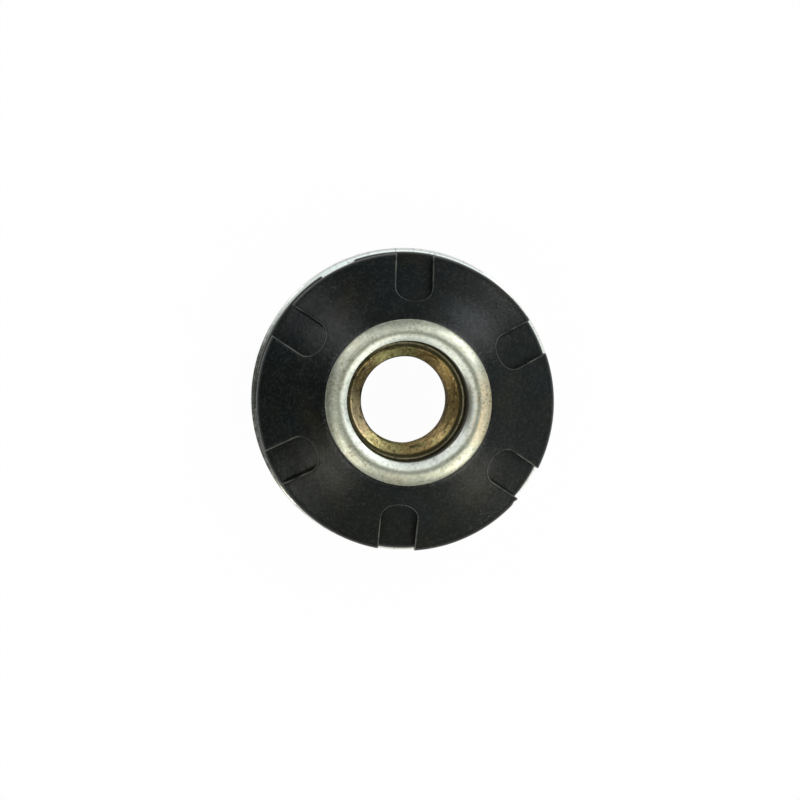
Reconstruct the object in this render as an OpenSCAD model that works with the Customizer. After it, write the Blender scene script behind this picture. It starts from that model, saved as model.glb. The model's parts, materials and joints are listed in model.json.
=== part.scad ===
// Threaded caster insert for the end of a round tube.
// The flange rests on the tube's end, the conical spring discs grip the tube's inside,
// and a caster's stem screws in from the flange side.
// The origin is the centre of the flange's outer face, and +Z points into the tube.

/* [Threaded bore] */
// Diameter of the bore inside the thread's crests
bore_d = 10.6; // [6:0.1:16]
// Height above the flange's outer face at which the threaded part ends
threaded_h = 9; // [6:0.5:11]
// Chamfer where the stem enters, at the flange's outer face
lead_chamfer = 1.2; // [0.3:0.1:1.5]
// Width of the countersink at the thread's inner end
countersink_w = 1.2; // [0.5:0.1:2]
// Slope of the countersink's cone
countersink_angle = 30; // [20:1:50]
// Width of the flat ledge around the countersink
ledge_w = 0.75; // [0.25:0.05:1.5]

/* [Flange] */
// Diameter of the flange
flange_d = 37; // [30:0.5:50]
// Thickness of the flange
flange_t = 2.2; // [1.6:0.1:4]
// Radius of the flange's edge on the tube side
flange_inner_round = 0.2; // [0.1:0.1:0.8]
// Radius of the flange's edge on the outer side
flange_outer_round = 0.4; // [0.2:0.1:0.8]

/* [Barrel] */
// Length of the barrel from the flange to the shoulder that carries the discs
body_len = 9.6; // [7:0.1:20]
// Wall of the thin end that is flared over the discs
spigot_wall = 1.15; // [0.8:0.05:2.5]
// Width of the shoulder that the discs sit on
shoulder_w = 0.9; // [0.8:0.1:4]
// Chamfer on the shoulder's edge
shoulder_chamfer = 0.15; // [0.1:0.05:0.4]
// Fillet between the barrel and the flange
root_fillet = 0.6; // [0.2:0.1:1.5]

/* [Flared collar] */
// Overhang of the flared collar past the thin end
lip_w = 1.35; // [0.8:0.05:1.6]
// Height of the collar above the front disc
lip_h = 2; // [1.5:0.1:4]
// Radius under the collar's outer edge
lip_under_round = 0.4; // [0.1:0.1:0.5]
// Radius of the collar's outer edge
lip_edge_round = 0.3; // [0.1:0.05:0.5]
// Radius of the collar's domed outer band
lip_band_round = 2.4; // [1.8:0.1:3]
// Distance from the collar's outer edge to its crest
crest_inset = 1.45; // [1.2:0.05:1.6]
// Slope of the flare at its inner mouth
flare_angle = 36; // [25:1:50]

/* [Grip discs] */
// Diameter of the discs before they are pressed into the tube
disc_d = 35.7; // [30:0.1:48]
// Thickness of the spring sheet
disc_t = 1.2; // [0.8:0.1:1.6]
// Slope of the discs' cone
cone_angle = 32; // [20:1:40]
// Inner radius of the bend between the discs' flat seat and their cone
bend_round = 0.2; // [0.1:0.1:2]
// Radius of the rolled edge on the discs' rim
rim_round = 1; // [0.2:0.05:1.1]
// Radial play of the discs on the thin end
disc_play = 0.42; // [0.2:0.02:0.7]
// Gap left between the nested cones
nest_gap = 0.03; // [0.01:0.01:0.1]
// Share of the play by which the rear disc has slid over
rear_slide_share = 0.55; // [0:0.05:0.9]
// Direction in which the rear disc has slid over
rear_slide_angle = 173; // [0:1:359]
// Share of the play by which the front disc has slid over
front_slide_share = 0.4; // [0:0.05:0.9]
// Direction in which the front disc has slid over
front_slide_angle = 274; // [0:1:359]

/* [Notches] */
// Number of notches around each disc
notch_count = 6; // [3:1:8]
// Width of a notch
notch_w = 4.3; // [2:0.1:6]
// Width of plain cone left between the bend and a notch's inner end, seen along the axis
notch_web = 1.8; // [0.3:0.1:2.4]
// Direction of the front disc's first notch
front_notch_angle = 30; // [0:1:359]

/* [Hidden] */
$fn = 96;
arc_steps = 8;
zinc = [0.78, 0.78, 0.74];
black_steel = [0.16, 0.17, 0.17];

// Radii of the barrel, from the bore outwards
bore_r = bore_d / 2;
countersink_r = bore_r + countersink_w;
counterbore_r = countersink_r + ledge_w;
spigot_r = counterbore_r + spigot_wall;
body_r = spigot_r + shoulder_w;
lip_r = spigot_r + lip_w;
crest_r = lip_r - crest_inset;
flange_r = flange_d / 2;

// The discs' sizes and heights in the clamped stack
disc_r = disc_d / 2;
hole_r = spigot_r + disc_play;
rear_offset = rear_slide_share * disc_play * [cos(rear_slide_angle), sin(rear_slide_angle)];
front_offset = front_slide_share * disc_play * [cos(front_slide_angle), sin(front_slide_angle)];
seat_r = body_r - shoulder_chamfer + disc_play;
nest_pitch = disc_t / cos(cone_angle) + norm(rear_offset - front_offset) * tan(cone_angle) + nest_gap;
notch_pitch = 360 / notch_count;
rear_seat_z = flange_t + body_len;
front_seat_z = rear_seat_z + nest_pitch;
lip_z = front_seat_z + disc_t;
top_z = lip_z + lip_h;

// Sheet frame on the cone: along the slope to the rim, and out of the front surface
slope = [cos(cone_angle), -sin(cone_angle)];
outward = [sin(cone_angle), cos(cone_angle)];
bend_centre = [seat_r, -bend_round];
cone_start = bend_centre + (bend_round + disc_t) * outward;
// The rolled edge reaches disc_r at its widest point
rim_centre_r = disc_r - rim_round;
cone_len = (rim_centre_r - cone_start[0] + rim_round * outward[0]) / slope[0];
rim_centre = cone_start + cone_len * slope - rim_round * outward;
rim_end = rim_centre + rim_round * slope - (disc_t - rim_round) * outward;

// Points on an arc of radius r about c, from angle a to angle b
function arc(c, r, a, b) =
    [for (i = [0:arc_steps]) let (t = a + (b - a) * i / arc_steps) c + r * [cos(t), sin(t)]];

// Half section of the flange, barrel and flared collar
function barrel_section() =
    let (
        band_centre = [crest_r, top_z - lip_band_round],
        edge_x = crest_inset - lip_edge_round,
        edge_z = sqrt(pow(lip_band_round - lip_edge_round, 2) - pow(edge_x, 2)),
        edge_end = atan2(edge_z, edge_x),
        flare_round = (crest_r - counterbore_r) / sin(flare_angle)
    )
    concat(
        [[bore_r + lead_chamfer, 0]],
        arc([flange_r - flange_outer_round, flange_outer_round], flange_outer_round, -90, 0),
        arc([flange_r - flange_inner_round, flange_t - flange_inner_round], flange_inner_round, 0, 90),
        arc([body_r + root_fillet, flange_t + root_fillet], root_fillet, 270, 180),
        [
            [body_r, rear_seat_z - shoulder_chamfer],
            [body_r - shoulder_chamfer, rear_seat_z],
            [spigot_r, rear_seat_z],
            [spigot_r, lip_z]
        ],
        arc([lip_r - lip_under_round, lip_z + lip_under_round], lip_under_round, -90, 0),
        arc(band_centre + [edge_x, edge_z], lip_edge_round, 0, edge_end),
        arc(band_centre, lip_band_round, edge_end, 90),
        arc([crest_r, top_z - flare_round], flare_round, 90, 90 + flare_angle),
        [
            [counterbore_r, threaded_h],
            [countersink_r, threaded_h],
            [bore_r, threaded_h - countersink_w * tan(countersink_angle)],
            [bore_r, lead_chamfer]
        ]
    );

// Half section of a disc, with the underside of its flat seat at z = 0
function disc_section() =
    concat(
        [[hole_r, 0]],
        arc(bend_centre, bend_round, 90, 90 - cone_angle),
        [rim_end],
        arc(rim_centre, rim_round, -cone_angle, 90 - cone_angle),
        arc(bend_centre, bend_round + disc_t, 90 - cone_angle, 90),
        [[hole_r, disc_t]]
    );

// A round-ended slot punched square to the sheet, open at the rim
module notch_cutter() {
    start = cone_start + slope * notch_web / slope[0];
    reach = 2 * disc_t;
    translate([start[0], 0, start[1]])
        rotate([0, cone_angle, 0])
            translate([notch_w / 2, 0, -reach]) {
                cylinder(d = notch_w, h = 2 * reach);
                translate([0, -notch_w / 2, 0])
                    cube([disc_r, notch_w, 2 * reach]);
            }
}

module grip_disc(first_notch) {
    difference() {
        rotate_extrude()
            polygon(disc_section());
        for (i = [0:notch_count - 1])
            rotate([0, 0, first_notch + i * notch_pitch])
                notch_cutter();
    }
}

module threaded_barrel() {
    color(zinc)
        rotate_extrude()
            polygon(barrel_section());
}

module front_grip_disc() {
    color(black_steel)
        translate([front_offset[0], front_offset[1], front_seat_z])
            grip_disc(front_notch_angle);
}

module rear_grip_disc() {
    color(black_steel)
        translate([rear_offset[0], rear_offset[1], rear_seat_z])
            grip_disc(front_notch_angle + notch_pitch / 2);
}

threaded_barrel();
front_grip_disc();
rear_grip_disc();
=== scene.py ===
"""Looks of a threaded caster insert: a plated barrel with its thread, and two black spring discs."""

import json
import math

import bmesh
import bpy
from bpy.props import FloatProperty, FloatVectorProperty, IntProperty, PointerProperty
from mathutils import Matrix, Vector


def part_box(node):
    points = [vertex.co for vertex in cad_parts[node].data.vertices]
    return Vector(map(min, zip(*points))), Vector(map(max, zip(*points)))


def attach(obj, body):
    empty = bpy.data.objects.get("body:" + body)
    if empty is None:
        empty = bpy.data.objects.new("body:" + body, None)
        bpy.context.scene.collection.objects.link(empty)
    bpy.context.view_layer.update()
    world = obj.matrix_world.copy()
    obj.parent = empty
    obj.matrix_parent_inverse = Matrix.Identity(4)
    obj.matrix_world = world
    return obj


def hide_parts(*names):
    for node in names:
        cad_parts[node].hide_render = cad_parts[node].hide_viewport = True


bl_info = {
    "name": "Threaded caster insert",
    "version": (1, 0, 0),
    "blender": (4, 5, 0),
    "location": "3D View > Sidebar > Insert",
    "description": "Builds the plated barrel, the grip discs and a white studio around the packed part",
    "category": "Object",
}

MM = 0.001
BODY = "root"
BARREL_NODE = "threaded_barrel"
FRONT_NODE = "front_grip_disc"
REAR_NODE = "rear_grip_disc"
SETTINGS_PREFIX = "insert_"

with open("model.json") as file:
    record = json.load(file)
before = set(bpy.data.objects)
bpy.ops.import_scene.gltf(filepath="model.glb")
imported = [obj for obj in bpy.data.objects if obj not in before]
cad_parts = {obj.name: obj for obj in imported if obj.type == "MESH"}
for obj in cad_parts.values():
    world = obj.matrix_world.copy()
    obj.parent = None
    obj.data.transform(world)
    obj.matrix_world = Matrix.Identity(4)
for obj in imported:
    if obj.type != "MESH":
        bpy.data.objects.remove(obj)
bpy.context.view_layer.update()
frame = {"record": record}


# Sizes read from the frame

def stem_thread():
    """The record's mount for the caster's stem."""
    return next(m for m in frame["record"]["mounts"] if m["name"] == "stem_thread")


BARREL_LOW, BARREL_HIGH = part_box(BARREL_NODE)
FRONT_LOW, FRONT_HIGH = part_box(FRONT_NODE)
REAR_LOW, REAR_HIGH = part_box(REAR_NODE)
BORE_R = stem_thread()["dims"]["r_mm"] * MM
FLANGE_R = BARREL_HIGH.x
TOP_Z = BARREL_HIGH.z
DISC_R = (FRONT_HIGH.x - FRONT_LOW.x) / 2
COLLAR_Z = FRONT_HIGH.z


# Properties

def length(name, description, mm):
    """A size in metres whose default is given in millimetres."""
    return FloatProperty(
        name=name, description=description, default=mm * MM, unit="LENGTH", precision=5
    )


def angle(name, description, degrees):
    """An angle whose default is given in degrees."""
    return FloatProperty(
        name=name, description=description, default=math.radians(degrees), unit="ROTATION"
    )


def colour(name, description, rgb):
    """A linear colour."""
    return FloatVectorProperty(
        name=name, description=description, default=rgb, size=3, min=0, max=1, subtype="COLOR"
    )


def level(name, description, value):
    """A plain number."""
    return FloatProperty(name=name, description=description, default=value)


class BarrelSizes(bpy.types.PropertyGroup):
    """Sizes of the flanged barrel and its thread."""

    thread_pitch: length("Thread pitch", "Rise of the thread in one turn", 1.954)
    thread_depth: length("Thread depth", "Height of the thread from crest to root", 1.058)
    thread_start: level("Thread start", "Share of a turn by which the thread is turned on", 0.55)
    threaded_height: length("Threaded height", "Height of the thread's end above the flange's face", 9)
    lead_chamfer: length("Lead chamfer", "Chamfer at the flange's face", 1.2)
    countersink: length("Countersink", "Width of the countersink at the thread's inner end", 1.2)
    countersink_angle: angle("Countersink slope", "Slope of the countersink's cone", 30)
    ledge: length("Ledge", "Width of the flat ledge around the countersink", 0.75)
    spigot_wall: length("Spigot wall", "Wall of the thin end that is flared over the discs", 1.15)
    shoulder: length("Shoulder", "Width of the shoulder that carries the discs", 0.9)
    shoulder_chamfer: length("Shoulder chamfer", "Chamfer on the shoulder's edge", 0.15)
    root_fillet: length("Root fillet", "Fillet between the barrel and the flange", 0.6)
    flange_thickness: length("Flange thickness", "Thickness of the flange", 2.2)
    flange_inner_round: length("Flange tube-side round", "Edge radius on the tube side", 0.2)
    flange_outer_round: length("Flange outer round", "Edge radius on the outer side", 0.4)
    lip: length("Collar overhang", "Overhang of the flared collar past the thin end", 1.35)
    lip_under_round: length("Collar under round", "Radius under the collar's edge", 0.4)
    lip_edge_round: length("Collar edge round", "Radius of the collar's outer edge", 0.3)
    lip_band_round: length("Collar band round", "Radius of the collar's domed outer band", 2.4)
    crest_inset: length("Crest inset", "Distance from the collar's edge to its crest", 1.45)
    flare_angle: angle("Flare slope", "Slope of the flare at its inner mouth", 36)
    punch_shift: length("Punch shift", "How far off the axis the flaring punch struck", 0.13)
    punch_bearing: angle("Punch direction", "Side to which the flaring punch struck", 138)
    mouth_closing: length("Mouth closing", "How far the flare's mouth closes in over the hole", 0.11)
    columns: IntProperty(name="Columns", description="Faces around the barrel", default=192, min=24)


class DiscSizes(bpy.types.PropertyGroup):
    """Sizes of the grip discs."""

    thickness: length("Thickness", "Thickness of the spring sheet", 1.2)
    hole_play: length("Hole play", "Radial play of the discs on the barrel's thin end", 0.42)
    cone_angle: angle("Cone angle", "Slope of the cone", 32)
    bend_round: length("Bend round", "Inner radius between seat and cone", 0.2)
    rim_round: length("Rim round", "Radius of the rolled rim", 1)
    crown: length("Crown", "Slight bulge of the cone between the bend and the rim", 0.1)
    notch_count: IntProperty(name="Notches", description="Notches around each disc", default=6, min=3)
    notch_width: length("Notch width", "Width of a notch", 4.3)
    notch_web: length("Notch web", "Plain cone between the bend and a notch, seen along the axis", 1.8)
    notch_round: length("Notch edge round", "Radius of the tumbled notch edges", 0.2)
    first_notch: angle("First notch", "Direction of the front disc's first notch", 30)
    nick_angle: angle("Nick direction", "Direction of the small nick in the front rim", 321)
    nick_depth: length("Nick depth", "Depth of the small nick in the front rim", 0.12)


class FinishColours(bpy.types.PropertyGroup):
    """Colours of the plated and black finishes."""

    zinc: colour("Zinc", "Plating on the collar's band", (0.52, 0.53, 0.44))
    # This warm zinc also lightens the bore's left side as a painted highlight.
    zinc_warm: colour("Warm zinc", "Cream patches in the plating", (0.68, 0.56, 0.37))
    zinc_cool: colour("Cool zinc", "Grey-green patches in the plating", (0.31, 0.32, 0.262))
    zinc_bright: colour("Bright zinc", "Plating burnished by the flaring punch", (0.755, 0.785, 0.735))
    zinc_flange: colour("Flange zinc", "Clean plating on the flange", (0.98, 0.98, 0.97))
    pit: colour("Pit", "Dark pits in the plating", (0.16, 0.14, 0.11))
    gold: colour("Gold tint", "Yellow passivation in the bore", (0.59, 0.425, 0.195))
    # This dark gold also carries the painted shade on the bore's right side; its use for specks, turning
    # marks and soil is real.
    gold_dark_and_shade: colour("Dark gold", "Brown passivation in the bore's dull places", (0.19, 0.13, 0.048))
    gold_bright: colour("Bright gold", "Bright specks in the bore", (0.72, 0.54, 0.27))
    gold_green: colour("Green tint", "Greenish film in the bore", (0.42, 0.42, 0.19))
    gold_pink: colour("Pink tint", "Pinkish film in the bore", (0.62, 0.46, 0.30))
    # This grime colour serves real dirt flecks in the bore and painted shade: the dark reflection on one
    # side of the flange, the patch over the thread's run-out and the shadow at the flare's mouth.
    grime_and_shade: colour("Grime", "Brown-grey dirt in the hole and on the flange", (0.07, 0.06, 0.035))
    # This dark tone is used only for painted shade in the hole: on the ledge, the counterbore's wall and
    # the last thread crest.
    hole_shade: colour("Residue", "Dark residue in the hole", (0.026, 0.024, 0.011))
    black: colour("Black oxide", "Black finish of the discs", (0.0034, 0.0044, 0.0045))
    black_brown: colour("Brown oxide", "Brownish patches in the black finish", (0.0125, 0.0105, 0.004))
    black_blue: colour("Blue oxide", "Bluish patches in the black finish", (0.003, 0.0055, 0.0072))
    black_bloom: colour("Oxide bloom", "Fine pale bloom on the black finish", (0.022, 0.0245, 0.0235))
    # This colour lightens the notch edges and the rim: partly worn steel, partly a painted edge
    # highlight.
    wear_and_highlight: colour("Worn edge", "Steel showing at the notch edges", (0.125, 0.125, 0.11))


class StageSettings(bpy.types.PropertyGroup):
    """Camera, floor and lights."""

    camera_distance: length("Camera distance", "Height of the camera above the flange's face", 300)
    camera_offset: length("Camera offset", "Distance of the camera from the bore's axis", 18)
    camera_bearing: angle("Camera bearing", "Side to which the camera stands off the axis", 153.7)
    camera_roll: angle("Camera roll", "Turn of the picture about the line of sight", 3.7)
    aim_right: length("Aim right", "Shift of the aim to the picture's right", -0.186)
    aim_up: length("Aim up", "Shift of the aim to the picture's top", -0.195)
    lens: level("Lens", "Focal length in millimetres", 109.6)
    floor_size: length("Floor size", "Side of the floor", 3000)
    floor_shadow: level("Floor shadow", "Share of the floor's white that shadows can take away", 0.025)
    lamp_low: angle("Lamp foot", "Height of the tall lamps' lower edge above the horizon", 25.5)
    lamp_high: angle("Lamp top", "Height of the tall lamps' upper edge above the horizon", 68)
    lamp_width: angle("Lamp width", "Width of the tall lamps", 6.5)
    lamp_distance: length("Lamp distance", "Distance of the tall lamps", 500)


GROUPS = {
    "barrel": BarrelSizes,
    "disc": DiscSizes,
    "finish": FinishColours,
    "stage": StageSettings,
}


def settings(name):
    """One of the add-on's property groups on the scene."""
    return getattr(bpy.context.scene, SETTINGS_PREFIX + name)


# Node trees written as expressions

# Places of the Mix node's factor and colours among its inputs, and of its colour among its outputs
MIX_FACTOR = 0
MIX_FIRST = 6
MIX_SECOND = 7
MIX_RESULT = 2


class Wire:
    """A node socket that takes part in Python expressions; each operator adds a Math node."""

    def __init__(self, net, socket):
        self.net = net
        self.socket = socket

    def math(self, operation, *others):
        values = dict(enumerate((self, *others)))
        return self.net.add("ShaderNodeMath", values, {"operation": operation})

    def __add__(self, other):
        return self.math("ADD", other)

    __radd__ = __add__

    def __sub__(self, other):
        return self.math("SUBTRACT", other)

    def __rsub__(self, other):
        return self.net.add("ShaderNodeMath", {0: other, 1: self}, {"operation": "SUBTRACT"})

    def __mul__(self, other):
        return self.math("MULTIPLY", other)

    __rmul__ = __mul__

    def __truediv__(self, other):
        return self.math("DIVIDE", other)

    def __mod__(self, other):
        return self.math("FLOORED_MODULO", other)

    def floor(self):
        return self.math("FLOOR")

    def sin(self):
        return self.math("SINE")

    def cos(self):
        return self.math("COSINE")

    def least(self, other):
        return self.math("MINIMUM", other)

    def most(self, other):
        return self.math("MAXIMUM", other)

    def unit(self):
        """The value held between 0 and 1."""
        return self.most(0.0).least(1.0)

    def step(self, low, high):
        """A smooth rise from 0 at low to 1 at high."""
        return self.net.add(
            "ShaderNodeMapRange",
            {"Value": self, "From Min": low, "From Max": high},
            {"interpolation_type": "SMOOTHSTEP"},
        )


class Net:
    """A node tree, with one method that adds any node."""

    def __init__(self, tree):
        self.tree = tree

    def add(self, kind, inputs=None, options=None, output=0):
        """Adds a node, sets its options, then its sockets' values or links, and gives one output."""
        node = self.tree.nodes.new(kind)
        for key, value in (options or {}).items():
            setattr(node, key, value)
        for key, value in (inputs or {}).items():
            self.feed(node.inputs[key], value)
        return Wire(self, node.outputs[output]) if len(node.outputs) else node

    def feed(self, socket, value):
        if isinstance(value, Wire):
            self.tree.links.new(value.socket, socket)
        else:
            socket.default_value = value

    def parts(self, vector):
        """The three numbers of a vector."""
        node = self.add("ShaderNodeSeparateXYZ", {0: vector}).socket.node
        return [Wire(self, out) for out in node.outputs]

    def vector(self, x, y, z):
        return self.add("ShaderNodeCombineXYZ", {"X": x, "Y": y, "Z": z})

    def mix(self, share, first, second):
        """A colour between two colours."""
        values = {MIX_FACTOR: share, MIX_FIRST: first, MIX_SECOND: second}
        return self.add("ShaderNodeMix", values, {"data_type": "RGBA"}, MIX_RESULT)

    def noise(self, vector, scale, detail=2.0, roughness=0.5):
        return self.add(
            "ShaderNodeTexNoise",
            {"Vector": vector, "Scale": scale, "Detail": detail, "Roughness": roughness},
        )


def opaque(rgb):
    """A colour with its alpha."""
    return (*rgb, 1.0)


# Geometry node trees

# Edges shorter than this, in metres, are taken out
SHORTEST_EDGE = 1e-8


def geometry_tree(name, sizes):
    """A tree with a Geometry input and output, and a named input for each size and for the material."""
    tree = bpy.data.node_groups.new(name, "GeometryNodeTree")
    tree.is_modifier = True
    tree.interface.new_socket("Geometry", in_out="INPUT", socket_type="NodeSocketGeometry")
    for size, value in sizes.items():
        kind = "NodeSocketInt" if isinstance(value, int) else "NodeSocketFloat"
        tree.interface.new_socket(size, in_out="INPUT", socket_type=kind)
    tree.interface.new_socket("Material", in_out="INPUT", socket_type="NodeSocketMaterial")
    tree.interface.new_socket("Geometry", in_out="OUTPUT", socket_type="NodeSocketGeometry")
    net = Net(tree)
    source = tree.nodes.new("NodeGroupInput")
    return net, {out.name: Wire(net, out) for out in source.outputs if out.name}


def end_tree(net, shape, weld, material):
    """Realizes instances, welds the seams, smooths the shading and sets the material."""
    shape = net.add("GeometryNodeRealizeInstances", {"Geometry": shape})
    shape = net.add("GeometryNodeMergeByDistance", {"Geometry": shape, "Distance": weld})
    shape = net.add("GeometryNodeSetShadeSmooth", {"Geometry": shape})
    shape = net.add("GeometryNodeSetMaterial", {"Geometry": shape, "Material": material})
    net.add("NodeGroupOutput", {0: shape})


def made_by(net, start, sizes, material, name):
    """Runs a tree on a starting mesh and gives the result as a plain mesh object."""
    carrier = bpy.data.objects.new(name + "_start", start)
    bpy.context.collection.objects.link(carrier)
    modifier = carrier.modifiers.new("Build", "NODES")
    modifier.node_group = net.tree
    values = {**sizes, "Material": material}
    for item in net.tree.interface.items_tree:
        if item.in_out == "INPUT" and item.name in values:
            modifier[item.identifier] = values[item.name]
    evaluated = carrier.evaluated_get(bpy.context.evaluated_depsgraph_get())
    mesh = bpy.data.meshes.new_from_object(evaluated)
    mesh.name = name
    carrier.modifiers.remove(modifier)
    bpy.data.objects.remove(carrier)
    bpy.data.meshes.remove(start)
    if not mesh.polygons:
        raise RuntimeError(name + " came out empty")
    piece = bpy.data.objects.new(name, mesh)
    bpy.context.collection.objects.link(piece)
    return piece


def face_outwards(mesh):
    """Points every face of a closed mesh outwards."""
    work = bmesh.new()
    work.from_mesh(mesh)
    bmesh.ops.dissolve_degenerate(work, dist=SHORTEST_EDGE, edges=work.edges)
    bmesh.ops.recalc_face_normals(work, faces=work.faces)
    open_edges = sum(1 for edge in work.edges if not edge.is_manifold)
    work.to_mesh(mesh)
    work.free()
    if open_edges:
        raise RuntimeError(f"{mesh.name} has {open_edges} open edges")


def settle(piece, node, sharp_angle):
    """Finishes a piece's shading and stands it for its CAD node."""
    face_outwards(piece.data)
    piece.data.set_sharp_from_angle(angle=sharp_angle)
    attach(piece, BODY)
    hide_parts(node)


# Barrel

ARC_STEPS = 10
THREAD_ROWS = 16
CREST_ROWS = 4
FLANK_ROWS = 5
# Turns of the thread's grid that start below the flange's face and are held at it
SPARE_TURNS = 2
WELD = 0.002 * MM
# Width of the narrow faces that keep the flange's flat faces flat next to a rounded edge
FLAT_EDGE = 0.05 * MM
SHARP = math.radians(32)


def arc(centre, radius, start, end, steps=ARC_STEPS):
    """Points on an arc in a half section, between two angles in degrees."""
    turns = [math.radians(start + (end - start) * i / steps) for i in range(steps + 1)]
    return [(centre[0] + radius * math.cos(t), centre[1] + radius * math.sin(t)) for t in turns]


def counterbore_radius(sizes):
    """Radius of the wide hole above the thread."""
    return BORE_R + sizes.countersink + sizes.ledge


def crest_radius(sizes):
    """Radius of the collar's crest."""
    return counterbore_radius(sizes) + sizes.spigot_wall + sizes.lip - sizes.crest_inset


def collar_section(sizes):
    """Half section of the flared collar, from under its edge to the counterbore's mouth."""
    under, edge, band = sizes.lip_under_round, sizes.lip_edge_round, sizes.lip_band_round
    crest_r = crest_radius(sizes)
    edge_x = sizes.crest_inset - edge
    edge_z = math.sqrt((band - edge) ** 2 - edge_x ** 2)
    edge_end = math.degrees(math.atan2(edge_z, edge_x))
    flare = (crest_r - counterbore_radius(sizes)) / math.sin(sizes.flare_angle)
    flare_end = 90 + math.degrees(sizes.flare_angle)
    return (
        arc((crest_r + sizes.crest_inset - under, COLLAR_Z + under), under, -90, 0)
        + arc((crest_r + edge_x, TOP_Z - band + edge_z), edge, 0, edge_end)
        + arc((crest_r, TOP_Z - band), band, edge_end, 90)[1:]
        + arc((crest_r, TOP_Z - flare), flare, 90, flare_end)[1:]
    )


def barrel_section(sizes):
    """Half section of the barrel's outside, from the lead chamfer round to the countersink's mouth."""
    counterbore_r = counterbore_radius(sizes)
    spigot_r = counterbore_r + sizes.spigot_wall
    body_r = spigot_r + sizes.shoulder
    outer, inner, fillet = sizes.flange_outer_round, sizes.flange_inner_round, sizes.root_fillet
    flange_t = sizes.flange_thickness
    chamfer = sizes.shoulder_chamfer
    seat_z = REAR_HIGH.z - settings("disc").thickness
    return (
        [(BORE_R + sizes.lead_chamfer, 0.0), (FLANGE_R - outer - FLAT_EDGE, 0.0)]
        + arc((FLANGE_R - outer, outer), outer, -90, 0)
        + arc((FLANGE_R - inner, flange_t - inner), inner, 0, 90)
        + [(FLANGE_R - inner - FLAT_EDGE, flange_t)]
        + arc((body_r + fillet, flange_t + fillet), fillet, 270, 180)
        + [(body_r, seat_z - chamfer), (body_r - chamfer, seat_z)]
        + [(spigot_r, seat_z), (spigot_r, COLLAR_Z)]
        + collar_section(sizes)
        + [(counterbore_r, sizes.threaded_height), (BORE_R + sizes.countersink, sizes.threaded_height)]
    )


def section_mesh(points):
    """A line of points in the XZ plane."""
    mesh = bpy.data.meshes.new("section")
    mesh.from_pydata([(r, 0.0, z) for r, z in points], [(i, i + 1) for i in range(len(points) - 1)], [])
    return mesh


def grid_cells(net, columns, rows):
    """A grid mesh, with the column and the row of each of its points."""
    grid = net.add("GeometryNodeMeshGrid", {"Vertices X": columns + 1, "Vertices Y": rows})
    index = net.add("GeometryNodeInputIndex")
    column = (index / rows).floor()
    return grid, column, index - column * rows


def on_turn(net, grid, radius, height, turn):
    """Places a grid's points at a radius, a height and a share of a full turn."""
    bearing = turn * math.tau
    place = net.vector(radius * bearing.cos(), radius * bearing.sin(), height)
    return net.add("GeometryNodeSetPosition", {"Geometry": grid, "Position": place})


def barrel_tree(sizes):
    """Turns the section about the bore's axis and cuts the thread on a helix inside it."""
    net, given = geometry_tree("Turned barrel with thread", sizes)
    columns = given["Columns"]
    bore = given["Bore radius"]
    top = given["Threaded height"]

    count = net.add("GeometryNodeAttributeDomainSize", {"Geometry": given["Geometry"]})
    grid, column, row = grid_cells(net, columns, count)
    sample = net.add(
        "GeometryNodeSampleIndex",
        {"Geometry": given["Geometry"], "Value": net.add("GeometryNodeInputPosition"), "Index": row},
        {"data_type": "FLOAT_VECTOR", "domain": "POINT"},
    )
    radius, _, height = net.parts(sample)
    turn = column / columns
    crest = given["Crest radius"]
    flared = ((crest - radius) / (crest - given["Mouth radius"])).unit()
    flared = flared * ((height - top) / (given["Mouth height"] - top)).unit()
    off_axis = (turn * math.tau - given["Punch bearing"]).cos() * given["Punch shift"]
    struck = off_axis - given["Mouth closing"]
    shell = on_turn(net, grid, radius + flared * struck, height, turn)

    grid, column, row = grid_cells(net, columns, given["Turns"] * THREAD_ROWS + 1)
    turn = column / columns
    rise = row / THREAD_ROWS + turn + given["Thread start"] - SPARE_TURNS
    height = (rise * given["Pitch"]).most(0.0).least(top)
    along = row % THREAD_ROWS
    climb = ((along - CREST_ROWS) / FLANK_ROWS).unit()
    fall = ((along - (THREAD_ROWS - FLANK_ROWS)) / FLANK_ROWS).unit()
    groove = bore + given["Thread depth"] * (climb - fall)
    lead = bore + given["Lead chamfer"] - height
    sink = bore + given["Countersink"] - (top - height) * given["Sink run"]
    thread = on_turn(net, grid, groove.most(lead).most(sink), height, turn)

    joined = net.add("GeometryNodeJoinGeometry")
    net.tree.links.new(shell.socket, joined.socket.node.inputs[0])
    net.tree.links.new(thread.socket, joined.socket.node.inputs[0])
    end_tree(net, joined, WELD, given["Material"])
    return net


class INSERT_OT_barrel(bpy.types.Operator):
    """Builds the flanged barrel with its flared collar and its thread"""

    bl_idname = "caster_insert.barrel"
    bl_label = "Threaded barrel"

    def execute(self, context):
        group = settings("barrel")
        sizes = {
            "Columns": group.columns,
            "Turns": math.ceil(group.threaded_height / group.thread_pitch) + SPARE_TURNS,
            "Bore radius": BORE_R,
            "Pitch": group.thread_pitch,
            "Thread depth": group.thread_depth,
            "Thread start": group.thread_start,
            "Threaded height": group.threaded_height,
            "Lead chamfer": group.lead_chamfer,
            "Countersink": group.countersink,
            "Sink run": 1 / math.tan(group.countersink_angle),
            "Crest radius": crest_radius(group),
            "Mouth radius": counterbore_radius(group),
            "Mouth height": collar_section(group)[-1][1],
            "Mouth closing": group.mouth_closing,
            "Punch shift": group.punch_shift,
            "Punch bearing": group.punch_bearing,
        }
        start = section_mesh(barrel_section(group))
        barrel = made_by(barrel_tree(sizes), start, sizes, zinc_plate(), "plated_barrel")
        settle(barrel, BARREL_NODE, SHARP)
        return {"FINISHED"}


# Grip discs

HALF_COLUMNS = 16
FLAT_ROWS = 3
BEND_ROWS = 6
WEB_ROWS = 4
END_STEPS = 10
SIDE_ROWS = 7
RIM_STEPS = 7
EDGE_STEPS = 4
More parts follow.
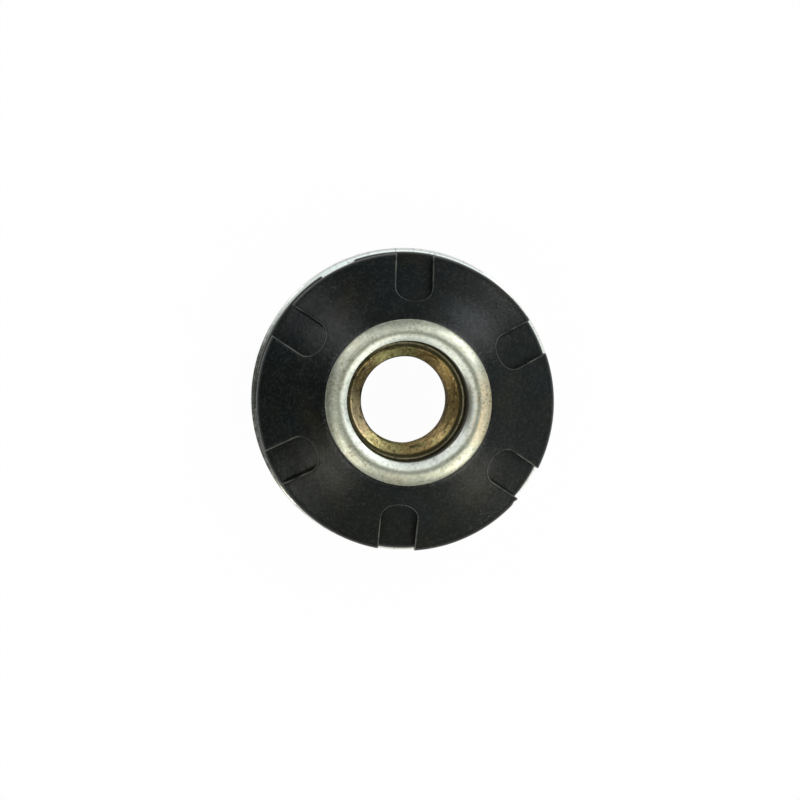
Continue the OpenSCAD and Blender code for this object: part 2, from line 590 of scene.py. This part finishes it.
# Rows of points between the disc's hole and the inner end of a notch
ROWS_TO_NOTCH = FLAT_ROWS + BEND_ROWS + WEB_ROWS
EDGE_ATTRIBUTE = "edge"
# Lightening of the rolled rim, partly wear and partly a painted highlight, as a share of the notch
# edges' lightening
RIM_LIGHTENING = 0.05
# Share of the sheet's thickness to which the notches' rounded edges may reach
DEEPEST_EDGE = 0.97
NICK_SPREAD = math.radians(1.3)
DISC_SHARP = math.radians(45)


class Sheet:
    """A disc's spring sheet: turns distances along it and out of its front surface into places."""

    def __init__(self, sizes, hole_r, seat_r):
        self.sizes = sizes
        self.hole_r = hole_r
        self.seat_r = seat_r
        self.slope = (math.cos(sizes.cone_angle), -math.sin(sizes.cone_angle))
        self.outer_bend = sizes.bend_round + sizes.thickness
        self.flat_end = seat_r - hole_r
        self.cone_from = self.flat_end + self.outer_bend * sizes.cone_angle
        self.cone_r, self.cone_z = self.bend_point(sizes.cone_angle)
        self.notch_from = self.cone_from + sizes.notch_web / self.slope[0]
        rim_centre_r = DISC_R - sizes.rim_round
        self.rim_from = self.reach(rim_centre_r - self.slope[1] * sizes.rim_round)

    def bend_point(self, turned):
        """Front surface of the bend after it has turned by an angle."""
        r = self.seat_r + self.outer_bend * math.sin(turned)
        return r, self.outer_bend * math.cos(turned) - self.sizes.bend_round

    def reach(self, radius):
        """Distance along the sheet to a radius on the cone's front surface."""
        return self.cone_from + (radius - self.cone_r) / self.slope[0]

    def place(self, along, out):
        """Radius and height of a point, with the underside of the flat seat at height 0."""
        if along <= self.flat_end:
            r, z, turned = self.hole_r + along, self.sizes.thickness, 0.0
        elif along <= self.cone_from:
            turned = (along - self.flat_end) / self.outer_bend
            r, z = self.bend_point(turned)
        else:
            turned = self.sizes.cone_angle
            r = self.cone_r + (along - self.cone_from) * self.slope[0]
            z = self.cone_z + (along - self.cone_from) * self.slope[1]
            # The crown follows the radius, so that nested sheets keep their gap
            crowned = self.reach(r + out * math.sin(turned)) - self.cone_from
            share = min(1.0, max(0.0, crowned / (self.rim_from - self.cone_from)))
            out += self.sizes.crown * (1 - math.cos(math.tau * share)) / 2
        return r + out * math.sin(turned), z + out * math.cos(turned)

    def rows(self, margin):
        """Rows of the half sector as (along, half width of the notch, depth of the rim's roll)."""
        half = self.sizes.notch_width / 2
        centre = self.notch_from + half
        wide = half + margin
        bend = self.cone_from - self.flat_end
        web = self.notch_from - margin - self.cone_from
        side = self.rim_from - centre
        inner = [self.flat_end * i / FLAT_ROWS for i in range(FLAT_ROWS)]
        inner += [self.flat_end + bend * i / BEND_ROWS for i in range(BEND_ROWS)]
        inner += [self.cone_from + web * i / WEB_ROWS for i in range(WEB_ROWS)]
        rows = [(along, 0.0, 0.0) for along in inner]
        for i in range(END_STEPS + 1):
            turn = math.pi / 2 * i / END_STEPS
            rows.append((centre - wide * math.cos(turn), wide * math.sin(turn), 0.0))
        for i in range(1, SIDE_ROWS + 1):
            rows.append((centre + side * i / SIDE_ROWS, wide, 0.0))
        roll = self.sizes.rim_round
        for i in range(1, RIM_STEPS + 1):
            turn = math.pi / 2 * i / RIM_STEPS
            rows.append((self.rim_from + roll * math.sin(turn), wide, roll * (1 - math.cos(turn))))
        return rows


class SectorMesh:
    """One notch with half a petal on each side, as lists of points and faces."""

    def __init__(self, sheet):
        self.sheet = sheet
        self.half_sector = math.pi / sheet.sizes.notch_count
        self.points = []
        self.edge = []
        self.faces = []

    def point(self, along, out, width, share, side, wear_and_highlight=0.0):
        """Adds a point at a share of the way from the notch's side to the sector's edge."""
        r, z = self.sheet.place(along, out)
        first = math.asin(width / r)
        bearing = side * (first + (self.half_sector - first) * share)
        self.points.append((r * math.cos(bearing), r * math.sin(bearing), z))
        self.edge.append(wear_and_highlight)
        return len(self.points) - 1

    def strip(self, first, second):
        """Faces between two rows of points."""
        for i in range(len(first) - 1):
            self.faces.append((first[i], first[i + 1], second[i + 1], second[i]))

    def skin(self, margin, out, side):
        """One surface of the half sector, as rows of points."""
        shares = [i / HALF_COLUMNS for i in range(HALF_COLUMNS + 1)]
        grid = []
        for along, width, roll in self.sheet.rows(margin):
            depth = max(out - roll, -self.sheet.sizes.thickness)
            # Share of the rim's painted lightening, wear and highlight, that grows along its roll.
            wear_and_highlight = RIM_LIGHTENING * min(1.0, roll / self.sheet.sizes.rim_round)
            grid.append([self.point(along, depth, width, share, side, wear_and_highlight) for share in shares])
        for first, second in zip(grid, grid[1:]):
            self.strip(first, second)
        return grid

    def half(self, side):
        """Half of the sector: front, back, hole, rim and the notch's rounded wall."""
        sizes = self.sheet.sizes
        front = self.skin(sizes.notch_round, 0.0, side)
        back = self.skin(0.0, -sizes.thickness, side)
        self.strip(front[0], back[0])
        self.strip(front[-1], back[-1])
        ring = [row[0] for row in front[ROWS_TO_NOTCH:]]
        lowest = -sizes.thickness * DEEPEST_EDGE
        for i in range(1, EDGE_STEPS + 1):
            turn = math.pi / 2 * i / EDGE_STEPS
            margin = sizes.notch_round * (1 - math.sin(turn))
            sunk = sizes.notch_round * (1 - math.cos(turn))
            lower = []
            for along, width, roll in self.sheet.rows(margin)[ROWS_TO_NOTCH:]:
                lower.append(self.point(along, max(-roll - sunk, lowest), width, 0.0, side, 1.0))
            self.strip(ring, lower)
            ring = lower
        foot = [row[0] for row in back[ROWS_TO_NOTCH:]]
        self.strip(ring, foot)
        self.faces.append((front[-1][0], *self.column_end(ring), foot[-1]))

    def column_end(self, ring):
        """Last points of the rounded edge's rows, from the front down to the lowest row."""
        return [ring[-1] - len(ring) * i for i in reversed(range(EDGE_STEPS))]

    def mesh(self):
        self.half(1)
        self.half(-1)
        mesh = bpy.data.meshes.new("sector")
        mesh.from_pydata(self.points, [], self.faces)
        mesh.attributes.new(EDGE_ATTRIBUTE, "FLOAT", "POINT").data.foreach_set("value", self.edge)
        return mesh


def sector_tree(sizes):
    """Repeats one sector of a disc around the axis."""
    net, given = geometry_tree("Sectors around a disc", sizes)
    spots = net.add("GeometryNodeMeshLine", {"Count": given["Sectors"], "Offset": (0.0, 0.0, 0.0)})
    bearing = net.add("GeometryNodeInputIndex") * math.tau / given["Sectors"] + given["First"]
    turn = net.add("FunctionNodeAxisAngleToRotation", {"Axis": (0.0, 0.0, 1.0), "Angle": bearing})
    copies = net.add(
        "GeometryNodeInstanceOnPoints",
        {"Points": spots, "Instance": given["Geometry"], "Rotation": turn},
    )
    end_tree(net, copies, WELD, given["Material"])
    return net


def nick(mesh, sizes):
    """Presses a small nick into the rim."""
    for vertex in mesh.vertices:
        r = math.hypot(vertex.co.x, vertex.co.y)
        turned = math.atan2(vertex.co.y, vertex.co.x) - sizes.nick_angle
        off = abs(math.remainder(turned, math.tau))
        if off < NICK_SPREAD and r > DISC_R - sizes.rim_round:
            push = sizes.nick_depth * math.cos(off / NICK_SPREAD * math.pi / 2) ** 2
            share = (r - DISC_R + sizes.rim_round) / sizes.rim_round
            vertex.co.xy *= 1 - push * share / r


class INSERT_OT_discs(bpy.types.Operator):
    """Builds the front and rear grip discs from one notch sector"""

    bl_idname = "caster_insert.discs"
    bl_label = "Grip discs"

    def execute(self, context):
        sizes = settings("disc")
        barrel = settings("barrel")
        spigot_r = counterbore_radius(barrel) + barrel.spigot_wall
        seat_r = spigot_r + barrel.shoulder - barrel.shoulder_chamfer + sizes.hole_play
        sheet = Sheet(sizes, spigot_r + sizes.hole_play, seat_r)
        half_pitch = math.pi / sizes.notch_count
        finish = black_oxide()
        discs = {
            "front_disc": (FRONT_NODE, FRONT_LOW, FRONT_HIGH, sizes.first_notch),
            "rear_disc": (REAR_NODE, REAR_LOW, REAR_HIGH, sizes.first_notch + half_pitch),
        }
        for name, (node, low, high, first) in discs.items():
            given = {"Sectors": sizes.notch_count, "First": first}
            disc = made_by(sector_tree(given), SectorMesh(sheet).mesh(), given, finish, name)
            if node == FRONT_NODE:
                nick(disc.data, sizes)
            place = (low + high) / 2
            place.z = high.z - sizes.thickness
            disc.data.transform(Matrix.Translation(place))
            settle(disc, node, DISC_SHARP)
        return {"FINISHED"}


# Finishes

# Place of the plain number among an Attribute node's outputs
ATTRIBUTE_VALUE = 2
BUMP_DEPTH = 0.06 * MM


def new_finish(name):
    """A material with an empty node tree, and its surface shader."""
    material = bpy.data.materials.new(name)
    material.use_nodes = True
    material.node_tree.nodes.clear()
    net = Net(material.node_tree)
    shader = material.node_tree.nodes.new("ShaderNodeBsdfPrincipled")
    net.add("ShaderNodeOutputMaterial", {"Surface": Wire(net, shader.outputs[0])})
    return material, net, shader


def add_relief(net, shader, relief, strength):
    """Bumps a surface by a height."""
    bump = net.add("ShaderNodeBump", {"Height": relief, "Strength": strength, "Distance": BUMP_DEPTH})
    net.feed(shader.inputs["Normal"], bump)


def towards(net, place, degrees):
    """How far a place lies towards a bearing, in metres."""
    x, y, _ = net.parts(place)
    turn = math.radians(degrees)
    return x * math.cos(turn) + y * math.sin(turn)


class Spot:
    """Where a shaded point lies: its object coordinates, and its radius, height and bearing in turns."""

    def __init__(self, net):
        self.net = net
        self.place = net.add("ShaderNodeTexCoord", output="Object")
        x, y, self.height = net.parts(self.place)
        self.radius = (x * x + y * y).math("SQRT")
        self.bearing = y.math("ARCTAN2", x) / math.tau

    def facing(self, degrees, low, high):
        """A mask that rises towards a bearing, between two cosines of the turn away from it."""
        return (towards(self.net, self.place, degrees) / self.radius).step(low, high)

    def noise(self, scale, detail=2.0, roughness=0.5):
        return self.net.noise(self.place, scale, detail, roughness)

    def turning_marks(self, fineness, breaks, detail=2.0):
        """Noise drawn out around the axis, as a lathe leaves it."""
        radius, height = self.radius * fineness, self.height * fineness
        return self.net.noise(self.net.vector(radius, height, self.bearing * breaks), 1.0, detail)


def collar_zinc(net, spot, patches, mottle, grit, burnish):
    """Plating with warm and cool patches, bright where it was burnished and grey along the crest."""
    tones = settings("finish")
    warm = (spot.facing(2, 0.8, 1.0) * 0.9 + (patches - 0.55) * 2.0).unit()
    cool = (spot.facing(178, 0.5, 1.0) * 0.6 + (mottle - 0.5) * 1.8).unit()
    skin = net.mix(warm, opaque(tones.zinc), opaque(tones.zinc_warm))
    skin = net.mix(cool * 0.8, skin, opaque(tones.zinc_cool))
    skin = net.mix(burnish * 0.9, skin, opaque(tones.zinc_bright))

    wander = (spot.noise(200.0, 3.0) - 0.35) * 0.5 * MM
    off_crest = (spot.radius - crest_radius(settings("barrel")) + wander).math("ABSOLUTE")
    crease = 1.0 - off_crest.step(0.04 * MM, 0.36 * MM)
    skin = net.mix(crease * (0.7 + mottle * 0.5).unit(), skin, opaque(tones.zinc_cool))
    skin = net.mix(((grit - 0.5) * 3.5).unit(), skin, opaque(tones.zinc_cool))
    skin = net.mix(((0.46 - grit) * 3.5).unit(), skin, opaque(tones.zinc_bright))

    soil = spot.noise(3000.0, 3.0, 0.7).step(0.52, 0.62) * spot.noise(320.0, 2.0).step(0.35, 0.6)
    skin = net.mix(soil * (1.0 - burnish * 0.7) * 0.7, skin, opaque(tones.gold_dark_and_shade))
    worked = spot.turning_marks(5200.0, 14.0, 3.0)
    return net.mix(((worked - 0.52) * 3.0).unit() * 0.6, skin, opaque(tones.zinc_cool))


def bore_gold(net, spot, right):
    """Yellow passivation, paler on the left as a painted highlight, darker on the right and where the
    thread runs out as painted shade, green on either side.
    """
    tones = settings("finish")
    film = spot.noise(420.0, 3.0)
    spots = (spot.noise(900.0, 4.0, 0.7) - 0.5) * 2.6
    # Painted highlight: the gold is paler towards bearing 195°.
    pale = spot.facing(195, 0.8, 0.96)
    # Painted shade: the gold is duller towards the right and away from bearing 242°, on top of random
    # dull spots.
    shade = right * 0.3 + 0.38 - pale * 0.6 - towards(net, spot.place, 242) / (13 * MM)
    gold = net.mix(film.step(0.3, 0.5), opaque(tones.gold_green), opaque(tones.gold))
    gold = net.mix(film.step(0.6, 0.76), gold, opaque(tones.gold_pink))
    gold = net.mix(pale * 0.6, gold, opaque(tones.zinc_warm))
    gold = net.mix((spots + shade).unit() * 0.9, gold, opaque(tones.gold_dark_and_shade))

    # Painted shade: a dark patch where the thread runs out, towards bearing 146°.
    runout = spot.facing(146, 0.74, 0.95)
    gold = net.mix(runout * (0.85 + spots * 0.5).unit(), gold, opaque(tones.grime_and_shade))
    green = spot.facing(106, 0.86, 0.98) + spot.facing(247, 0.88, 0.97)
    gold = net.mix(green * (spots + 0.75).unit() * 0.9, gold, opaque(tones.gold_green))

    speckle = spot.noise(2600.0, 3.0, 0.7)
    specks = ((speckle - 0.49) * 6.0).unit() * (0.85 - pale * 0.45)
    gold = net.mix(specks, gold, opaque(tones.gold_dark_and_shade))
    gold = net.mix(((0.44 - speckle) * 5.0).unit(), gold, opaque(tones.gold_bright))
    marks = ((spot.turning_marks(3500.0, 5.0) - 0.5) * 4.0).unit() * (1.0 - pale * 0.5)
    return net.mix(marks, gold, opaque(tones.gold_dark_and_shade))


def paint_hole_shade(net, spot, skin, below, right, mottle):
    """Painted shade on the ledge, the hole's wall and the last crest, a painted shadow on the flare's
    mouth at the right, and a grey ring left on the ledge as a painted highlight.
    """
    tones = settings("finish")
    barrel = settings("barrel")
    radius, height = spot.radius, spot.height
    mouth = BORE_R + barrel.countersink
    wall_r = counterbore_radius(barrel)
    top = barrel.threaded_height
    flare_z = collar_section(barrel)[-1][1]

    left = spot.facing(184, 0.2, 0.8)
    # Painted highlight: a grey ring on the ledge, away from the left, stronger on the right.
    ring = 1.0 - (radius - mouth - 0.45 * MM).math("ABSOLUTE").step(0.04 * MM, 0.14 * MM)
    ring = ring * (1.0 - left)
    skin = net.mix(ring * below * 0.6, skin, opaque(tones.zinc_cool))
    # Painted shade: the ledge at the foot of the counterbore is darkened, except for the ring.
    ledge = (radius - left * 0.14 * MM).step(mouth - 0.1 * MM, mouth) * below
    ledge = ledge * height.step(top - 0.4 * MM, top - 0.2 * MM)
    skin = net.mix(ledge * (0.97 - ring * (0.55 + right * 0.35)), skin, opaque(tones.hole_shade))

    # Painted shadow on the flare next to the mouth, on the right.
    dim = spot.facing(3, 0.84, 1.0) * (1.0 - radius.step(wall_r - 0.1 * MM, wall_r + 0.6 * MM))
    skin = net.mix(dim * height.step(top, top + 0.5 * MM) * 0.75, skin, opaque(tones.grime_and_shade))
    # Painted shade on the counterbore's wall, darker towards its foot, with random mottling.
    in_wall = (1.0 - radius.step(wall_r + 0.01 * MM, wall_r + 0.05 * MM)) * (1.0 - below)
    in_wall = in_wall * height.step(top, top + 0.3 * MM)
    in_wall = in_wall * (1.0 - height.step(flare_z - 0.15 * MM, flare_z))
    painted_wall_shade = (1.1 - height.step(top, flare_z) * 0.7 + (mottle - 0.5) * 0.8).unit()
    skin = net.mix(in_wall * painted_wall_shade * 0.95, skin, opaque(tones.hole_shade))

    # Painted shadow of the last thread crest, wider on the right.
    last_crest = 1.0 - (radius - right * 0.2 * MM).step(BORE_R + 0.05 * MM, BORE_R + 0.16 * MM)
    last_crest = last_crest * height.step(top - 1.2 * MM, top - 1 * MM)
    return net.mix(last_crest * 0.85, skin, opaque(tones.hole_shade))


def zinc_plate():
    """Zinc plating on the collar, cleaner on the flange with streaks and a painted dark reflection on
    one side, gold inside the bore, with painted shade in the hole.
    """
    tones = settings("finish")
    barrel = settings("barrel")
    material, net, shader = new_finish("zinc plating")
    spot = Spot(net)
    radius, height = spot.radius, spot.height
    wall_r = counterbore_radius(barrel)
    top = barrel.threaded_height
    crest = crest_radius(barrel)

    patches = spot.noise(260.0, 3.0)
    mottle = spot.noise(1300.0, 4.0, 0.7)
    grit = spot.noise(2100.0, 5.0, 0.75)
    burnish = 1.0 - (radius + (mottle - 0.5) * 0.4 * MM).step(crest - 0.6 * MM, crest - 0.1 * MM)
    skin = collar_zinc(net, spot, patches, mottle, grit, burnish)

    on_flange = radius.step(13 * MM, 16 * MM)
    skin = net.mix(on_flange * 0.9, skin, opaque(tones.zinc_flange))
    streaks = net.noise(net.vector(spot.bearing * 260.0, height * 500.0, radius * 900.0), 1.0, 2.0)
    # Painted dark reflection on the flange towards bearing 194°, broken up by streaks.
    streaks_and_dark_reflection = (spot.facing(194, 0.72, 0.92) + (streaks - 0.55) * 1.2).unit()
    skin = net.mix(streaks_and_dark_reflection * on_flange * 0.85, skin, opaque(tones.grime_and_shade))

    right = spot.facing(12, 0.3, 1.0)
    below = 1.0 - height.step(top + 0.1 * MM, top + 0.5 * MM)
    below = below * (1.0 - radius.step(wall_r, wall_r + 0.3 * MM))
    skin = net.mix(below, skin, bore_gold(net, spot, right))
    skin = paint_hole_shade(net, spot, skin, below, right, mottle)

    pits = spot.noise(1700.0, 2.0, 0.6).step(0.64, 0.74)
    skin = net.mix(pits * (0.2 + below * 0.4), skin, opaque(tones.pit))
    flecks = spot.noise(2200.0, 4.0, 0.75).step(0.54, 0.63) * below
    skin = net.mix(flecks * 0.85, skin, opaque(tones.grime_and_shade))
    net.feed(shader.inputs["Base Color"], skin)

    lines = spot.turning_marks(9000.0, 9.0)
    rough = 0.3 + lines * 0.1 + patches * 0.08 + burnish * (1.0 - below) * 0.1 + pits * 0.15
    net.feed(shader.inputs["Roughness"], rough * (1.0 - on_flange * 0.72))
    rim = barrel.flange_thickness - barrel.flange_inner_round
    edge = radius.step(FLANGE_R - 0.32 * MM, FLANGE_R - 0.2 * MM)
    edge = edge * height.step(rim - 0.02 * MM, rim + 0.04 * MM) * (1.0 - streaks_and_dark_reflection)
    net.feed(shader.inputs["Metallic"], 1.0 - edge * 0.9)

    relief = (lines * 0.5 + mottle + grit - pits) * (1.0 - on_flange) + streaks * on_flange * 0.06
    add_relief(net, shader, relief, 0.3)
    return material


def scuffs(net, place, degrees):
    """Fine straight scratches along a bearing, gathered in patches."""
    along, across = towards(net, place, degrees), towards(net, place, degrees + 90)
    lines = net.noise(net.vector(along * 160.0, across * 5200.0, 0.0), 1.0, 2.0).step(0.62, 0.72)
    return lines * net.noise(net.vector(along, across, degrees * MM), 210.0, 2.0).step(0.5, 0.68)


def black_oxide():
    """Black oxide on spring steel: brown and blue cloud, fine bloom, specks, and notch edges lightened
    for wear and as a painted highlight.
    """
    tones = settings("finish")
    material, net, shader = new_finish("black oxide")
    place = net.add("ShaderNodeTexCoord", output="Object")

    cloud = net.noise(place, 180.0, 4.0, 0.6)
    skin = net.mix(cloud.step(0.5, 0.75) * 0.8, opaque(tones.black), opaque(tones.black_brown))
    skin = net.mix(net.noise(place, 120.0, 2.0).step(0.5, 0.7), skin, opaque(tones.black_blue))
    blotch = net.noise(place, 750.0, 5.0, 0.75)
    skin = net.mix(((blotch - 0.52) * 4.0).unit() * 0.5, skin, opaque(tones.black_bloom))
    # Browner towards the side away from bearing 95°, in patches.
    browner_away_from_95 = (0.05 - towards(net, place, 95) / (15 * MM)).unit() * (0.4 + blotch * 0.8).unit()
    skin = net.mix(browner_away_from_95 * 0.3, skin, opaque(tones.black_brown))
    bloom = net.noise(place, 2300.0, 4.0, 0.8)
    skin = net.mix(((bloom - 0.5) * 5.0).unit() * 0.8, skin, opaque(tones.black_bloom))

    wear_and_highlight = net.add("ShaderNodeAttribute", {}, {"attribute_name": EDGE_ATTRIBUTE}, ATTRIBUTE_VALUE)
    chips = net.noise(place, 420.0, 4.0, 0.6)
    # Notch edges lightened in patches: partly wear, partly a painted edge highlight.
    edge_wear_and_highlight = (wear_and_highlight * (chips * 3.4 - 1.0) - 0.15).unit()
    specks = net.noise(place, 2600.0, 1.0).step(0.72, 0.8)
    scratched = scuffs(net, place, 20) + scuffs(net, place, 140)
    # The scratches are lightened a little in colour as a painted glint; the specks are real.
    bright = (edge_wear_and_highlight * 0.8 + specks * 0.15 + scratched * 0.03).unit()
    net.feed(shader.inputs["Base Color"], net.mix(bright, skin, opaque(tones.wear_and_highlight)))

    drift = net.noise(place, 330.0, 4.0, 0.65)
    grain = net.noise(place, 3000.0, 4.0, 0.7)
    net.feed(shader.inputs["Roughness"], 0.08 + drift * 0.15 + grain * 0.06 + scratched * 0.06)
    shader.inputs["IOR"].default_value = 1.34

    relief = grain * 1.8 + drift * 1.6 + cloud + blotch * 1.2 - scratched * 0.15
    add_relief(net, shader, relief, 0.36)
    return material


# Stage

# Bearing in degrees, brightness and share of blue of each tall lamp
LAMPS = ((48, 12.6, 1.0), (138, 7.2, 1.0), (228, 9.6, 0.87), (318, 11.4, 0.85))
WHITE = (1.0, 1.0, 1.0, 1.0)
FLOOR_PAINT = (0.8, 0.8, 0.8, 1.0)
ROOM_TINT = (0.9, 1.0, 0.985, 1.0)
# Share of the floor's white that reflections show, and the distances over which it fades out
FLOOR_REFLECTED = 0.12
FLOOR_NEAR = 35 * MM
FLOOR_FAR = 110 * MM
# Direction of the dark lens overhead, and the inner and outer edge of its soft rim
LENS_X = -0.008
LENS_Y = -0.03
LENS_INNER = 0.036
LENS_OUTER = 0.054


def white_floor(share):
    """White to the camera and faintly in reflections near the part, apart from a share for shadows."""
    material = bpy.data.materials.new("white floor")
    material.use_nodes = True
    material.node_tree.nodes.clear()
    net = Net(material.node_tree)
    rays = net.add("ShaderNodeLightPath").socket.node.outputs
    x, y, _ = net.parts(net.add("ShaderNodeTexCoord", output="Object"))
    near = 1.0 - (x * x + y * y).math("SQRT").step(FLOOR_NEAR, FLOOR_FAR)
    reflected = Wire(net, rays["Is Glossy Ray"]) * near * FLOOR_REFLECTED
    seen = Wire(net, rays["Is Camera Ray"]).most(reflected)
    paint = net.add("ShaderNodeBsdfDiffuse", {"Color": FLOOR_PAINT})
    glow = net.add("ShaderNodeEmission", {"Color": WHITE, "Strength": 1.0})
    surface = net.add("ShaderNodeMixShader", {0: seen * (1.0 - share), 1: paint, 2: glow})
    net.add("ShaderNodeOutputMaterial", {"Surface": surface})
    return material


def studio_world():
    """A soft room, brighter on the right, with a white patch and the dark lens overhead."""
    world = bpy.data.worlds.new("studio")
    world.use_nodes = True
    world.node_tree.nodes.clear()
    net = Net(world.node_tree)
    direction = net.add("ShaderNodeTexCoord")
    x, y, up = net.parts(direction)
    sides = 0.46 + towards(net, direction, -8) * 0.3
    room = sides * up.step(0.05, 0.33) * (1.0 - up.step(0.5, 0.9) * 0.45)
    lens_x = x - LENS_X
    lens_y = y - LENS_Y
    off_lens = (lens_x * lens_x + lens_y * lens_y).math("SQRT")
    lens = 1.0 - off_lens.step(LENS_INNER, LENS_OUTER)
    glow = (room + up.step(0.982, 0.99) * 0.8) * (1.0 - lens * 0.95)
    seen = Wire(net, net.add("ShaderNodeLightPath").socket.node.outputs["Is Camera Ray"])
    strength = glow * (1.0 - seen) + seen
    tint = net.mix(seen, ROOM_TINT, WHITE)
    sky = net.add("ShaderNodeBackground", {"Color": tint, "Strength": strength})
    net.add("ShaderNodeOutputWorld", {"Surface": sky})
    bpy.context.scene.world = world


def add_lamp(name, stage, bearing, brightness, blue):
    """A tall area lamp that faces the object."""
    data = bpy.data.lights.new(name, "AREA")
    data.shape = "RECTANGLE"
    data.size = 2 * stage.lamp_distance * math.tan(stage.lamp_width / 2)
    data.size_y = 2 * stage.lamp_distance * math.tan((stage.lamp_high - stage.lamp_low) / 2)
    data.energy = brightness * math.pi * data.size * data.size_y
    data.color = (1.0, 0.8 + 0.2 * blue, blue)
    middle = (stage.lamp_high + stage.lamp_low) / 2
    outward = Vector((math.cos(bearing), math.sin(bearing), 0)) * math.cos(middle)
    outward.z = math.sin(middle)
    lamp = bpy.data.objects.new(name, data)
    lamp.location = outward * stage.lamp_distance
    lamp.rotation_euler = (-outward).to_track_quat("-Z", "Y").to_euler()
    bpy.context.collection.objects.link(lamp)


def photo_camera(stage):
    """The camera above the collar, a little off the axis, as the photograph was taken."""
    data = bpy.data.cameras.new("photo camera")
    data.lens = stage.lens
    data.clip_start = 1 * MM
    camera = bpy.data.objects.new("photo camera", data)
    roll = Matrix.Rotation(stage.camera_roll, 3, "Z")
    right, up = roll @ Vector((1, 0, 0)), roll @ Vector((0, 1, 0))
    bearing = stage.camera_bearing
    place = Vector((math.cos(bearing), math.sin(bearing), 0)) * stage.camera_offset
    place.z = stage.camera_distance
    aim = right * stage.aim_right + up * stage.aim_up
    back = (place - aim).normalized()
    side = up.cross(back).normalized()
    turn = Matrix((side, back.cross(side), back)).transposed()
    camera.matrix_world = Matrix.Translation(place) @ turn.to_4x4()
    bpy.context.collection.objects.link(camera)
    bpy.context.scene.camera = camera


class INSERT_OT_stage(bpy.types.Operator):
    """Builds the white floor, the lamps, the room and the camera"""

    bl_idname = "caster_insert.stage"
    bl_label = "Stage"

    def execute(self, context):
        stage = settings("stage")
        half = stage.floor_size / 2
        mesh = bpy.data.meshes.new("floor")
        corners = [(-half, -half, 0), (half, -half, 0), (half, half, 0), (-half, half, 0)]
        mesh.from_pydata(corners, [], [(0, 1, 2, 3)])
        mesh.materials.append(white_floor(stage.floor_shadow))
        floor = bpy.data.objects.new("floor", mesh)
        context.collection.objects.link(floor)
        for i, (bearing, brightness, blue) in enumerate(LAMPS):
            add_lamp(f"tall_lamp_{i}", stage, math.radians(bearing), brightness, blue)
        studio_world()
        photo_camera(stage)
        context.scene.view_settings.view_transform = "Standard"
        return {"FINISHED"}


class INSERT_PT_sidebar(bpy.types.Panel):
    """Lists the insert's pieces and their settings"""

    bl_idname = "INSERT_PT_sidebar"
    bl_label = "Threaded caster insert"
    bl_space_type = "VIEW_3D"
    bl_region_type = "UI"
    bl_category = "Insert"

    def draw(self, context):
        for operator in OPERATORS:
            self.layout.operator(operator.bl_idname)
        for name, group in GROUPS.items():
            box = self.layout.box()
            for key in group.__annotations__:
                box.prop(settings(name), key)


OPERATORS = (INSERT_OT_barrel, INSERT_OT_discs, INSERT_OT_stage)
CLASSES = (*GROUPS.values(), *OPERATORS, INSERT_PT_sidebar)


def register():
    for cls in CLASSES:
        bpy.utils.register_class(cls)
    for name, group in GROUPS.items():
        setattr(bpy.types.Scene, SETTINGS_PREFIX + name, PointerProperty(type=group))


def unregister():
    for name in GROUPS:
        delattr(bpy.types.Scene, SETTINGS_PREFIX + name)
    for cls in reversed(CLASSES):
        bpy.utils.unregister_class(cls)


def main():
    """Builds every piece and the stage."""
    register()
    bpy.ops.caster_insert.barrel()
    bpy.ops.caster_insert.discs()
    bpy.ops.caster_insert.stage()


if __name__ == "__main__":
    main()
